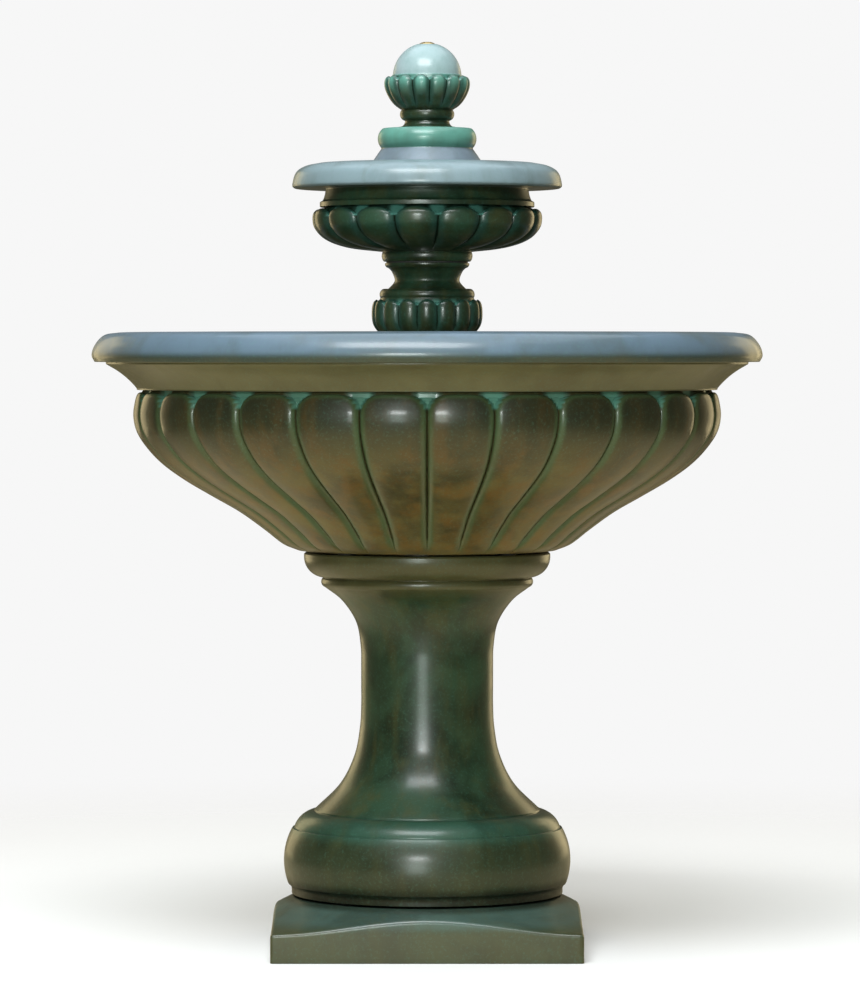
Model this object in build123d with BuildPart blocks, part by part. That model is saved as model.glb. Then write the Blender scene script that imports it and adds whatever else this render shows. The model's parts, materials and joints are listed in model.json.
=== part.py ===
"""Two-tier garden fountain: cast pedestal, gadrooned basin, riser, upper bowl and ball finial, with the pump,
pipework and drain stopper that make it run. Millimetres, +Z up, origin on the ground under the centre."""

import math
import os

from build123d import *

os.makedirs("parts", exist_ok=True)

# ---------------------------------------------------------------- driving dimensions
# Plinth: a square slab whose top is a shallow bell of revolution
plinth_width = 428.0
plinth_height = 72.0
plinth_corner_height = 41.0
plinth_bell_sag = 8.0
plinth_edge_radius = 4.0
plinth_core_radius = 50.0
key_height = 12.0
cord_notch_width = 26.0
cord_notch_height = 18.0

# Pedestal: torus foot, concave flare, straight shaft, bell and moulded capital
torus_radius = 201.0
torus_height = 78.0
foot_inset = 11.0
foot_height = 14.0
quirk_height = 2.0
band_height = 21.0
band_inset = 37.0
shaft_radius = 92.5
flare_height = 135.0
shaft_height = 100.0
bell_height = 79.0
bell_reach = 143.0
bead_height = 15.0
capital_height = 34.0
capital_radius = 172.5
shaft_core_radius = 55.0
pedestal_foot_core = 135.0

# Basin: gadrooned belly, hollow cornice and bull-nosed rim
belly_foot_radius = 174.0
belly_radius = 411.0
belly_height = 224.0
basin_lobes = 28
basin_lobe_depth = 10.0
cornice_height = 32.0
cornice_reach = 36.0
rim_radius = 468.5
rim_height = 41.0
rim_soffit_height = 7.0
rim_crest_inset = 38.5
basin_floor_radius = 150.0
basin_floor_thickness = 34.0
basin_wall = 37.0
basin_lip_width = 70.0

# Pump house: the plain drum in the basin that covers the pump and carries the riser
house_radius = 84.0
house_wall = 16.0
house_height = 210.0
arch_width = 44.0
arch_height = 55.0

# Riser: round foot, lobed bulb, waisted stem
riser_foot_setback = 2.0
riser_foot_height = 38.0
scotia_height = 18.0
bulb_radius = 77.5
bulb_foot_radius = 60.0
riser_wall = 10.0
bulb_height = 52.0
bulb_lobes = 16
bulb_lobe_depth = 6.0
collar_radius = 66.5
collar_height = 13.0
stem_radius = 45.5
stem_height = 36.0
stem_head_radius = 59.0

# Upper bowl
upper_foot_radius = 63.5
upper_foot_height = 14.0
upper_belly_radius = 161.0
upper_belly_height = 62.0
upper_lobes = 16
upper_lobe_depth = 9.0
upper_turn = 5.6
frieze_radius = 150.0
frieze_height = 9.0
neck_mould_height = 17.0
upper_rim_radius = 188.5
upper_rim_height = 35.0
upper_crest_radius = 152.0
upper_well_radius = 122.0
upper_floor_radius = 86.0
upper_floor_thickness = 30.0

# Finial
finial_foot_radius = 72.0
finial_foot_height = 67.0
finial_bell_radius = 84.0
finial_ledge_height = 16.0
finial_bell_height = 31.0
finial_collar_radius = 69.0
finial_collar_height = 28.0
finial_neck_radius = 31.0
finial_neck_height = 26.5
cup_radius = 60.0
cup_height = 48.0
cup_lobes = 14
cup_lobe_depth = 5.0
cup_turn = 16.7
ball_radius = 48.0
ball_rise = 45.0

# Seats between castings
pad_thickness = 3.0
pad_edge = 5.25
pad_count = 4
gasket_thickness = 2.0
gasket_width = 20.0
key_clearance = 3.0

# Drain and its rubber stopper
drain_radius = 16.0
drain_taper = 2.5
drain_margin = 14.0
stopper_fit = 0.3
stopper_flange_radius = 21.0
stopper_flange_height = 6.0
cord_hole_radius = 4.3

# Water pipe: half-inch copper tube
pipe_radius = 8.0
pipe_wall = 1.0
pipe_slip = 0.1
pipe_passage = 4.0
hose_wall = 3.0
socket_slip = 0.05
ring_groove_depth = 1.2
ring_width = 2.4
ring_slack = 0.1
band_slip = 0.1
band_width = 9.0
band_thickness = 0.8
lug_length = 11.0
lug_width = 9.0
clamp_screw_radius = 2.5
washer_thickness = 3.0
nut_height = 9.0

# Pump
pump_foot_height = 8.0
pump_width = 54.0
pump_case_height = 62.0
pump_body_length = 46.0
pump_body_front = 12.0
case_rim = 7.5
case_corner = 7.0
casing_side_wall = 5.5
casing_length = 26.0
casing_wall = 4.0
strainer_length = 30.0
strainer_wall = 2.5
magnet_radius = 11.0
magnet_length = 36.0
running_gap = 0.6
impeller_clearance = 3.5
impeller_length = 15.0
inlet_slot_radius = 8.0
inlet_slot_width = 5.0
impeller_blades = 6
shaft_pin_radius = 1.5
bush_radius = 4.0
bush_length = 4.0
dial_radius = 13.0
dial_thickness = 3.0
dial_gap = 0.4
dial_hole = 3.2
slot_pitch = 6.0
slot_width = 3.0
slot_count = 7

# ---------------------------------------------------------------- levels worked out from them
pedestal_base = plinth_height + pad_thickness
torus_base = pedestal_base + foot_height
torus_top = torus_base + torus_height
quirk_top = torus_top + quirk_height
band_top = quirk_top + band_height
flare_top = band_top + flare_height
shaft_top = flare_top + shaft_height
bell_top = shaft_top + bell_height
bead_top = bell_top + bead_height
pedestal_top = bead_top + capital_height
basin_base = pedestal_top + pad_thickness
belly_top = basin_base + belly_height
cornice_top = belly_top + cornice_height
rim_base = cornice_top + rim_soffit_height
rim_top = rim_base + rim_height
basin_floor = basin_base + basin_floor_thickness
house_top = basin_floor + house_height
house_bore = house_radius - house_wall
riser_base = house_top
bulb_base = riser_base + riser_foot_height + scotia_height
bulb_top = bulb_base + bulb_height
collar_top = bulb_top + collar_height
riser_top = collar_top + stem_height
upper_base = riser_top + gasket_thickness
upper_belly_base = upper_base + upper_foot_height
upper_belly_top = upper_belly_base + upper_belly_height
frieze_top = upper_belly_top + frieze_height
upper_rim_base = frieze_top + neck_mould_height
upper_rim_top = upper_rim_base + upper_rim_height
upper_floor = upper_belly_base + upper_floor_thickness
finial_base_level = upper_floor
finial_bell_base = finial_base_level + finial_foot_height
finial_bell_top = finial_bell_base + finial_ledge_height + finial_bell_height
finial_collar_top = finial_bell_top + finial_collar_height
cup_base = finial_collar_top + finial_neck_height
cup_top = cup_base + cup_height
ball_centre = cup_base + ball_rise
ball_top = ball_centre + ball_radius
pipe_bore = pipe_radius - pipe_wall
passage_radius = pipe_radius + pipe_passage
drain_offset = house_radius + key_clearance + stopper_flange_radius
capital_core = drain_offset + drain_radius + drain_margin
seat_radius = (capital_core + capital_radius) / 2
pad_radius = (capital_radius - capital_core) / 2 - pad_edge
riser_foot_radius = house_radius - riser_foot_setback

# Outlines of the lobed bodies: (share of height, share of reach, share of lobe depth)
BASIN_STATIONS = [
    (0.00, 0.03, 0.10),
    (0.04, 0.12, 0.45),
    (0.13, 0.23, 0.60),
    (0.24, 0.375, 0.70),
    (0.34, 0.54, 0.80),
    (0.44, 0.70, 0.90),
    (0.54, 0.83, 1.00),
    (0.64, 0.92, 1.00),
    (0.74, 0.98, 1.00),
    (0.84, 1.00, 1.00),
    (0.93, 0.99, 0.85),
    (0.98, 0.975, 0.45),
    (1.00, 0.965, 0.02),
]
UPPER_STATIONS = [
    (0.00, 0.03, 0.05),
    (0.05, 0.34, 0.50),
    (0.10, 0.52, 0.70),
    (0.18, 0.69, 0.85),
    (0.28, 0.82, 0.95),
    (0.40, 0.91, 1.00),
    (0.56, 0.98, 1.00),
    (0.72, 1.00, 1.00),
    (0.86, 0.99, 0.90),
    (0.95, 0.94, 0.55),
    (1.00, 0.86, 0.03),
]
BULB_STATIONS = [
    (0.00, 0.10, 0.10),
    (0.10, 0.50, 0.60),
    (0.26, 0.84, 0.90),
    (0.44, 0.98, 1.00),
    (0.62, 1.00, 1.00),
    (0.78, 0.96, 0.95),
    (0.90, 0.84, 0.70),
    (1.00, 0.55, 0.05),
]
CUP_STATIONS = [
    (0.00, 0.05, 0.10),
    (0.10, 0.34, 0.60),
    (0.24, 0.60, 0.85),
    (0.42, 0.82, 1.00),
    (0.60, 0.96, 1.00),
    (0.76, 1.00, 1.00),
    (0.90, 0.92, 0.95),
    (1.00, 0.68, 0.60),
]


# ---------------------------------------------------------------- helpers
def on_circle(radius, degrees):
    """A point of a circle round the origin, counted from the front (-Y)."""
    angle = math.radians(degrees - 90.0)
    return (radius * math.cos(angle), radius * math.sin(angle))


def lobed_sections(stations, base, height, foot, reach, depth, lobes, turn=0.0):
    """Cross-sections of a gadrooned body: rings of convex arcs, one arc for each lobe."""
    pitch = 360.0 / lobes
    sections = []
    for height_share, reach_share, depth_share in stations:
        crest = foot + reach_share * (reach - foot)
        chord_sag = crest * (1.0 - math.cos(math.radians(pitch / 2)))
        groove = crest - depth_share * max(depth - chord_sag, 0.5)
        with BuildSketch(Plane.XY.offset(base + height_share * height)) as section:
            with BuildLine():
                for lobe in range(lobes):
                    start = turn + lobe * pitch
                    ThreePointArc(
                        on_circle(groove, start),
                        on_circle(crest, start + pitch / 2),
                        on_circle(groove, start + pitch),
                    )
            make_face()
        sections.append(section.sketch)
    return sections


def across(y):
    """An upright plane at that y, whose extrusions run to the front (-Y)."""
    return Plane.XZ.offset(-y)


def ring(inner, outer, low, high):
    """A plain washer or tube about the Z axis."""
    with BuildPart() as made:
        with BuildSketch(Plane.XY.offset(low)):
            Circle(outer)
            Circle(inner, mode=Mode.SUBTRACT)
        extrude(amount=high - low)
    return made.part


def seat_pads(radius, low, thickness):
    """Round pads spaced evenly on a circle, each a separate solid."""
    with BuildPart() as made:
        with BuildSketch(Plane.XY.offset(low)):
            with PolarLocations(radius, pad_count, start_angle=45):
                Circle(pad_radius)
        extrude(amount=thickness)
    return made.part


def save(part, name):
    """Labels a finished piece and writes it as its own STEP file."""
    part.label = name
    export_step(part, f"parts/{name}.step")


# ---------------------------------------------------------------- plinth
corner_reach = plinth_width / math.sqrt(2)
bell_radius = torus_radius - foot_inset - 2.0
key_radius = pedestal_foot_core - key_clearance
with BuildPart() as plinth:
    with BuildSketch():
        RectangleRounded(plinth_width, plinth_width, plinth_edge_radius)
    extrude(amount=plinth_height)
    with BuildSketch(Plane.XZ):
        with BuildLine():
            skirt = Polyline(
                (0, 0), (corner_reach, 0), (corner_reach, plinth_corner_height)
            )
            bell = ThreePointArc(
                skirt @ 1,
                (
                    (corner_reach + bell_radius) / 2,
                    (plinth_corner_height + plinth_height) / 2 - plinth_bell_sag,
                ),
                (bell_radius, plinth_height),
            )
            Polyline(bell @ 1, (0, plinth_height), (0, 0))
        make_face()
    revolve(axis=Axis.Z, mode=Mode.INTERSECT)
    with BuildSketch(Plane.XY.offset(plinth_height)):
        Circle(key_radius)
    extrude(amount=key_height)
    with BuildSketch():
        Circle(plinth_core_radius)
    extrude(amount=plinth_height + key_height, mode=Mode.SUBTRACT)
    with BuildSketch():
        with Locations((0, plinth_width / 4)):
            Rectangle(cord_notch_width, plinth_width / 2 + 1)
    extrude(amount=cord_notch_height, mode=Mode.SUBTRACT)
save(plinth.part, "plinth")

# ---------------------------------------------------------------- pedestal
foot_radius = torus_radius - foot_inset
step_radius = torus_radius - band_inset - 6
with BuildPart() as pedestal:
    with BuildSketch(Plane.XZ):
        with BuildLine():
            foot = Polyline(
                (pedestal_foot_core, pedestal_base),
                (foot_radius, pedestal_base),
                (foot_radius, pedestal_base + 5),
            )
            cove = ThreePointArc(
                foot @ 1,
                (foot_radius + 1, torus_base - 4),
                (foot_radius + 5, torus_base),
            )
            torus = ThreePointArc(
                cove @ 1,
                (torus_radius, torus_base + 0.42 * torus_height),
                (foot_radius - 1, torus_top),
            )
            quirk = Polyline(
                torus @ 1, (foot_radius - 4, torus_top), (foot_radius - 4, quirk_top)
            )
            shoulder = ThreePointArc(
                quirk @ 1,
                (torus_radius - 0.62 * band_inset, quirk_top + 0.6 * band_height),
                (torus_radius - band_inset, band_top),
            )
            step = Polyline(
                shoulder @ 1,
                (step_radius, band_top),
                (step_radius, band_top + quirk_height),
            )
            flare_reach = step_radius - shaft_radius
            flare = Spline(
                step @ 1,
                (shaft_radius + 0.45 * flare_reach, band_top + 0.28 * flare_height),
                (shaft_radius + 0.12 * flare_reach, band_top + 0.58 * flare_height),
                (shaft_radius, flare_top),
                tangents=((-1.0, 1.0), (0.0, 1.0)),
            )
            shaft = Line(flare @ 1, (shaft_radius, shaft_top))
            neck_reach = bell_reach - shaft_radius
            neck = Spline(
                shaft @ 1,
                (shaft_radius + 0.13 * neck_reach, shaft_top + 0.36 * bell_height),
                (shaft_radius + 0.52 * neck_reach, shaft_top + 0.76 * bell_height),
                (bell_reach, bell_top),
                tangents=((0.0, 1.0), (1.0, 0.75)),
            )
            bead = ThreePointArc(
                neck @ 1,
                (bell_reach + 5.5, bell_top + 0.45 * bead_height),
                (bell_reach + 3, bead_top - 1.5),
            )
            fillet_step = Polyline(
                bead @ 1, (bell_reach + 3, bead_top), (bell_reach + 9, bead_top)
            )
            ovolo = ThreePointArc(
                fillet_step @ 1,
                (capital_radius - 4.5, bead_top + 0.36 * capital_height),
                (capital_radius, bead_top + 0.78 * capital_height),
            )
            capital = Polyline(
                ovolo @ 1,
                (capital_radius, pedestal_top - 2.5),
                (capital_radius - 2.5, pedestal_top),
                (capital_core, pedestal_top),
                (capital_core, pedestal_top - 13),
                (shaft_core_radius, shaft_top + 5),
                (shaft_core_radius, flare_top - 35),
                (pedestal_foot_core, pedestal_base + 55),
                (pedestal_foot_core, pedestal_base),
            )
        make_face()
    revolve(axis=Axis.Z)
save(pedestal.part, "pedestal")

pads_low = seat_pads((foot_radius + pedestal_foot_core) / 2, plinth_height, pad_thickness)
save(pads_low, "pedestal_pads")
pads_high = seat_pads(seat_radius, pedestal_top, pad_thickness)
save(pads_high, "basin_pads")

# ---------------------------------------------------------------- basin
rim_crest_radius = rim_radius - rim_crest_inset
cornice_radius = belly_foot_radius + 0.965 * (belly_radius - belly_foot_radius) + 3.0
cornice_edge = cornice_radius + cornice_reach
well_radius = belly_radius - basin_wall
lip_radius = rim_radius - basin_lip_width
boss_radius = capital_core - key_clearance
with BuildPart() as basin:
    loft(
        lobed_sections(
            BASIN_STATIONS,
            basin_base,
            belly_height,
            belly_foot_radius,
            belly_radius,
            basin_lobe_depth,
            basin_lobes,
        )
    )
    with BuildSketch(Plane.XZ):
        with BuildLine():
            ledge = Polyline(
                (0, belly_top), (cornice_radius, belly_top), (cornice_radius, belly_top + 2)
            )
            cornice = ThreePointArc(
                ledge @ 1,
                (cornice_radius + 0.42 * cornice_reach, belly_top + 0.55 * cornice_height),
                (cornice_edge, cornice_top),
            )
            soffit = Polyline(
                cornice @ 1,
                (cornice_edge + 7, cornice_top + 4),
                (cornice_edge + 7, rim_base),
                (rim_radius - 4, rim_base),
            )
            nose = Spline(
                soffit @ 1,
                (rim_radius, rim_base + 0.24 * rim_height),
                (rim_radius - 5, rim_base + 0.6 * rim_height),
                (rim_radius - 18, rim_top - 3.5),
                (rim_crest_radius, rim_top),
            )
            Polyline(nose @ 1, (0, rim_top), (0, belly_top))
        make_face()
    revolve(axis=Axis.Z)
    with BuildSketch(Plane.XY.offset(basin_base - key_height + pad_thickness)):
        Circle(boss_radius)
    extrude(amount=key_height)
    with BuildSketch(Plane.XZ):
        with BuildLine():
            floor = Line((0, basin_floor), (basin_floor_radius, basin_floor))
            side_rise = belly_top - basin_floor
            side_reach = well_radius - basin_floor_radius
            bowl = Spline(
                floor @ 1,
                (basin_floor_radius + 0.22 * side_reach, basin_floor + 0.07 * side_rise),
                (basin_floor_radius + 0.49 * side_reach, basin_floor + 0.26 * side_rise),
                (basin_floor_radius + 0.76 * side_reach, basin_floor + 0.45 * side_rise),
                (basin_floor_radius + 0.93 * side_reach, basin_floor + 0.62 * side_rise),
                (well_radius - 2, basin_floor + 0.82 * side_rise),
                (well_radius, belly_top + 10),
            )
            throat = ThreePointArc(
                bowl @ 1,
                (
                    (well_radius + lip_radius) / 2 + 2,
                    (belly_top + 10 + rim_top - 8) / 2 - 2,
                ),
                (lip_radius, rim_top - 8),
            )
            lip = ThreePointArc(
                throat @ 1,
                (lip_radius + 12, rim_top - 1.8),
                (rim_crest_radius, rim_top),
            )
            Polyline(
                lip @ 1, (rim_crest_radius, rim_top + 5), (0, rim_top + 5), (0, basin_floor)
            )
        make_face()
    revolve(axis=Axis.Z, mode=Mode.SUBTRACT)
    with BuildSketch(Plane.XY.offset(basin_base - key_height)):
        with Locations((0, drain_offset)):
            Circle(drain_radius - drain_taper)
    with BuildSketch(Plane.XY.offset(basin_floor)):
        with Locations((0, drain_offset)):
            Circle(drain_radius)
    loft(mode=Mode.SUBTRACT)
save(basin.part, "lower_basin")

# ---------------------------------------------------------------- drain stopper
stopper_length = basin_floor - basin_base + key_height
with BuildPart() as stopper:
    with BuildSketch(Plane.XY.offset(basin_floor - stopper_length)):
        with Locations((0, drain_offset)):
            Circle(drain_radius - drain_taper - stopper_fit)
    with BuildSketch(Plane.XY.offset(basin_floor)):
        with Locations((0, drain_offset)):
            Circle(drain_radius - stopper_fit)
    loft()
    with BuildSketch(Plane.XY.offset(basin_floor)):
        with Locations((0, drain_offset)):
            Circle(stopper_flange_radius)
    extrude(amount=stopper_flange_height)
    fillet(stopper.faces().sort_by(Axis.Z)[-1].edges(), radius=2)
    with BuildSketch(Plane.XY.offset(basin_floor - stopper_length)):
        with Locations((0, drain_offset)):
            Circle(cord_hole_radius)
    extrude(amount=stopper_length + stopper_flange_height, mode=Mode.SUBTRACT)
save(stopper.part, "drain_stopper")

# ---------------------------------------------------------------- pump house
with BuildPart() as house:
    with BuildSketch(Plane.XY.offset(basin_floor)):
        Circle(house_radius)
        Circle(house_bore, mode=Mode.SUBTRACT)
    extrude(amount=house_height)
    chamfer(house.edges().filter_by(GeomType.CIRCLE).group_by(Axis.Z)[-1], length=1.5)
    for plane in (Plane.XZ, Plane.YZ):
        with BuildSketch(plane):
            with Locations((0, basin_floor + (arch_height - arch_width / 2) / 2)):
                Rectangle(arch_width, arch_height - arch_width / 2)
            with Locations((0, basin_floor + arch_height - arch_width / 2)):
                Circle(arch_width / 2)
        extrude(amount=house_radius + 5, both=True, mode=Mode.SUBTRACT)
save(house.part, "pump_house")

# ---------------------------------------------------------------- riser
house_key_radius = house_bore - key_clearance
house_key_base = riser_base - key_height + pad_thickness
riser_bore = bulb_foot_radius - riser_wall
with BuildPart() as riser:
    loft(
        lobed_sections(
            BULB_STATIONS,
            bulb_base,
            bulb_height,
            bulb_foot_radius,
            bulb_radius,
            bulb_lobe_depth,
            bulb_lobes,
            turn=-180.0 / bulb_lobes,
        )
    )
    with BuildSketch(Plane.XZ):
        with BuildLine():
            foot = Polyline(
                (0, house_key_base),
                (house_key_radius, house_key_base),
                (house_key_radius, riser_base),
                (riser_foot_radius, riser_base),
                (riser_foot_radius, riser_base + riser_foot_height - 6),
                (riser_foot_radius - 4, riser_base + riser_foot_height),
                (bulb_foot_radius + 8, riser_base + riser_foot_height),
            )
            scotia = ThreePointArc(
                foot @ 1,
                (bulb_foot_radius - 2, riser_base + riser_foot_height + 10),
                (bulb_foot_radius + 1, bulb_base),
            )
            Polyline(scotia @ 1, (0, bulb_base), (0, house_key_base))
        make_face()
    revolve(axis=Axis.Z)
    with BuildSketch(Plane.XZ):
        with BuildLine():
            seat = Line((0, bulb_top), (collar_radius - 1.5, bulb_top))
            collar = ThreePointArc(
                seat @ 1,
                (collar_radius, bulb_top + 0.45 * collar_height),
                (collar_radius - 5, collar_top),
            )
            shelf = Line(collar @ 1, (stem_radius + 9, collar_top))
            waist = Spline(
                shelf @ 1,
                (stem_radius + 1.5, collar_top + 0.22 * stem_height),
                (stem_radius, collar_top + 0.40 * stem_height),
                (stem_radius + 4, collar_top + 0.66 * stem_height),
                (stem_radius + 8.5, riser_top - 7),
            )
            head = Polyline(
                waist @ 1,
                (stem_head_radius - 2, riser_top - 6),
                (stem_head_radius, riser_top - 3),
                (stem_head_radius, riser_top),
            )
            Polyline(head @ 1, (0, riser_top), (0, bulb_top))
        make_face()
    revolve(axis=Axis.Z)
    with BuildSketch(Plane.XY.offset(riser_base - key_height)):
        Circle(riser_bore)
    extrude(amount=riser_foot_height + key_height, mode=Mode.SUBTRACT)
    with BuildSketch(Plane.XY.offset(riser_base)):
        Circle(passage_radius)
    extrude(amount=riser_top - riser_base, mode=Mode.SUBTRACT)
save(riser.part, "riser")

riser_gasket = ring(
    stem_head_radius - gasket_width, stem_head_radius - 2, riser_top, upper_base
)
save(riser_gasket, "riser_gasket")

# ---------------------------------------------------------------- upper bowl
fitting_thread_radius = pipe_radius + 5.0
fitting_flange_radius = fitting_thread_radius + 8.0
nut_recess_radius = fitting_flange_radius + 3.0
nut_recess_height = upper_floor - upper_base - 18.0
with BuildPart() as upper_bowl:
    loft(
        lobed_sections(
            UPPER_STATIONS,
            upper_belly_base,
            upper_belly_height,
            upper_foot_radius,
            upper_belly_radius,
            upper_lobe_depth,
            upper_lobes,
            turn=upper_turn,
        )
    )
    with BuildSketch(Plane.XZ):
        with BuildLine():
            base = Line((0, upper_base), (upper_foot_radius - 3, upper_base))
            foot_bead = ThreePointArc(
                base @ 1,
                (upper_foot_radius, upper_base + 0.5 * upper_foot_height),
                (upper_foot_radius - 1.5, upper_belly_base),
            )
            Polyline(foot_bead @ 1, (0, upper_belly_base), (0, upper_base))
        make_face()
    revolve(axis=Axis.Z)
    with BuildSketch(Plane.XZ):
        with BuildLine():
            frieze = Polyline(
                (0, upper_belly_top),
                (frieze_radius, upper_belly_top),
                (frieze_radius, frieze_top - 2),
                (frieze_radius - 4, frieze_top),
            )
            hollow = ThreePointArc(
                frieze @ 1,
                (frieze_radius - 7, frieze_top + 0.5 * neck_mould_height),
                (frieze_radius - 8, upper_rim_base),
            )
            soffit = Line(hollow @ 1, (upper_rim_radius - 3, upper_rim_base))
            crown = Spline(
                soffit @ 1,
                (upper_rim_radius, upper_rim_base + 0.15 * upper_rim_height),
                (upper_rim_radius - 5, upper_rim_base + 0.62 * upper_rim_height),
                (upper_rim_radius - 18, upper_rim_base + 0.89 * upper_rim_height),
                (upper_crest_radius, upper_rim_top),
            )
            Polyline(crown @ 1, (0, upper_rim_top), (0, upper_belly_top))
        make_face()
    revolve(axis=Axis.Z)
    with BuildSketch(Plane.XZ):
        with BuildLine():
            floor = Line((0, upper_floor), (upper_floor_radius, upper_floor))
            dish = ThreePointArc(
                floor @ 1,
                (upper_well_radius - 8, upper_floor + 12),
                (upper_well_radius, upper_belly_top - 5),
            )
            wall = Line(dish @ 1, (upper_well_radius, upper_rim_base + 8))
            lip = ThreePointArc(
                wall @ 1,
                (upper_well_radius + 9, upper_rim_top - 8),
                (upper_crest_radius, upper_rim_top),
            )
            Polyline(
                lip @ 1,
                (upper_crest_radius, upper_rim_top + 5),
                (0, upper_rim_top + 5),
                (0, upper_floor),
            )
        make_face()
    revolve(axis=Axis.Z, mode=Mode.SUBTRACT)
    with BuildSketch(Plane.XY.offset(upper_base)):
        Circle(nut_recess_radius)
    extrude(amount=nut_recess_height, mode=Mode.SUBTRACT)
    with BuildSketch(Plane.XY.offset(upper_base)):
        Circle(fitting_thread_radius + 1)
    extrude(amount=upper_floor - upper_base, mode=Mode.SUBTRACT)
save(upper_bowl.part, "upper_bowl")

# ---------------------------------------------------------------- finial base
with BuildPart() as finial_base:
    with BuildSketch(Plane.XZ):
        with BuildLine():
            drum = Polyline(
                (passage_radius, finial_base_level),
                (finial_foot_radius, finial_base_level),
                (finial_foot_radius, finial_bell_base),
                (finial_bell_radius, finial_bell_base + finial_ledge_height - 6),
                (finial_bell_radius, finial_bell_base + finial_ledge_height),
            )
            bell_step = finial_bell_radius - finial_collar_radius + 5.5
            bell = ThreePointArc(
                drum @ 1,
                (
                    finial_bell_radius - 0.58 * bell_step,
                    finial_bell_top - 0.38 * finial_bell_height,
                ),
                (finial_collar_radius - 5.5, finial_bell_top),
            )
            torus = ThreePointArc(
                bell @ 1,
                (finial_collar_radius, finial_bell_top + 0.46 * finial_collar_height),
                (finial_collar_radius - 7, finial_collar_top),
            )
            Polyline(
                torus @ 1,
                (passage_radius, finial_collar_top),
                (passage_radius, finial_base_level),
            )
        make_face()
    revolve(axis=Axis.Z)
    with BuildSketch(Plane.XY.offset(finial_base_level)):
        Circle(fitting_flange_radius + 10)
    extrude(amount=finial_foot_height - 15, mode=Mode.SUBTRACT)
save(finial_base.part, "finial_base")

# ---------------------------------------------------------------- finial
cap_radius = pipe_radius + 5.0
cap_seat = ball_top - 6.0
with BuildPart() as finial:
    loft(
        lobed_sections(
            CUP_STATIONS,
            cup_base,
            cup_height,
            finial_neck_radius + 5,
            cup_radius,
            cup_lobe_depth,
            cup_lobes,
            turn=cup_turn - 180.0 / cup_lobes,
        )
    )
    with Locations((0, 0, ball_centre)):
        Sphere(ball_radius)
    with BuildSketch(Plane.XZ):
        with BuildLine():
            seat = Polyline(
                (0, finial_collar_top),
                (finial_neck_radius + 9, finial_collar_top),
                (finial_neck_radius + 9, finial_collar_top + 2),
            )
            cove = ThreePointArc(
                seat @ 1,
                (finial_neck_radius + 2.5, finial_collar_top + 4),
                (finial_neck_radius, finial_collar_top + 9),
            )
            neck = Line(cove @ 1, (finial_neck_radius, cup_base - 16))
            bead = ThreePointArc(
                neck @ 1,
                (finial_neck_radius + 7, cup_base - 8),
                (finial_neck_radius + 4, cup_base),
            )
            Polyline(bead @ 1, (0, cup_base), (0, finial_collar_top))
        make_face()
    revolve(axis=Axis.Z)
    with BuildSketch(Plane.XY.offset(finial_collar_top)):
        Circle(pipe_radius + 1)
    extrude(amount=ball_top - finial_collar_top, mode=Mode.SUBTRACT)
    with BuildSketch(Plane.XY.offset(cap_seat)):
        Circle(cap_radius + 1)
    extrude(amount=10, mode=Mode.SUBTRACT)
save(finial.part, "finial")

# ---------------------------------------------------------------- pump body and casing
pump_axis = basin_floor + pump_foot_height + pump_case_height / 2
chamber_radius = pump_case_height / 2 - case_rim
casing_radius = chamber_radius + casing_side_wall
impeller_radius = chamber_radius - impeller_clearance
pump_low = basin_floor + pump_foot_height
pump_back = pump_body_front + pump_body_length
casing_front = pump_body_front - casing_length
strainer_front = casing_front - strainer_length
well_radius_motor = magnet_radius + running_gap
well_back = pump_body_front + magnet_length + 4.0
outlet_radius = 10.0
outlet_bore = 7.0
outlet_top = pump_low + pump_case_height + 14.0
gland_y = pump_back - 12.0
foot_x = pump_width / 2 - 8
foot_y = (pump_body_front + 8, pump_back - 8)

with BuildPart() as pump_body:
    with BuildSketch(across(pump_back)):
        with Locations((0, pump_axis)):
            RectangleRounded(pump_width, pump_case_height, case_corner)
    extrude(amount=pump_body_length)
    fillet(pump_body.faces().sort_by(Axis.Y)[-1].edges(), radius=3)
    with BuildSketch(across(well_back)):
        with Locations((0, pump_axis)):
            Circle(well_radius_motor)
    extrude(amount=well_back - pump_body_front, mode=Mode.SUBTRACT)
    with BuildSketch(across(well_back + bush_length)):
        with Locations((0, pump_axis)):
            Circle(bush_radius)
    extrude(amount=bush_length + 1, mode=Mode.SUBTRACT)
    with BuildSketch(across(pump_body_front + 1.5)):
        with Locations((0, pump_axis)):
            Circle(chamber_radius + 3)
            Circle(chamber_radius + 0.5, mode=Mode.SUBTRACT)
    extrude(amount=1.5, mode=Mode.SUBTRACT)
    with BuildSketch(Plane.XY.offset(pump_low)):
        for y in foot_y:
            with Locations((foot_x, y), (-foot_x, y)):
                Circle(2.5)
    extrude(amount=5, mode=Mode.SUBTRACT)
    with BuildSketch(Plane.XY.offset(pump_low + pump_case_height)):
        with Locations((0, gland_y)):
            Circle(4.5)
    extrude(amount=-8, mode=Mode.SUBTRACT)
save(pump_body.part, "pump_body")

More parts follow.
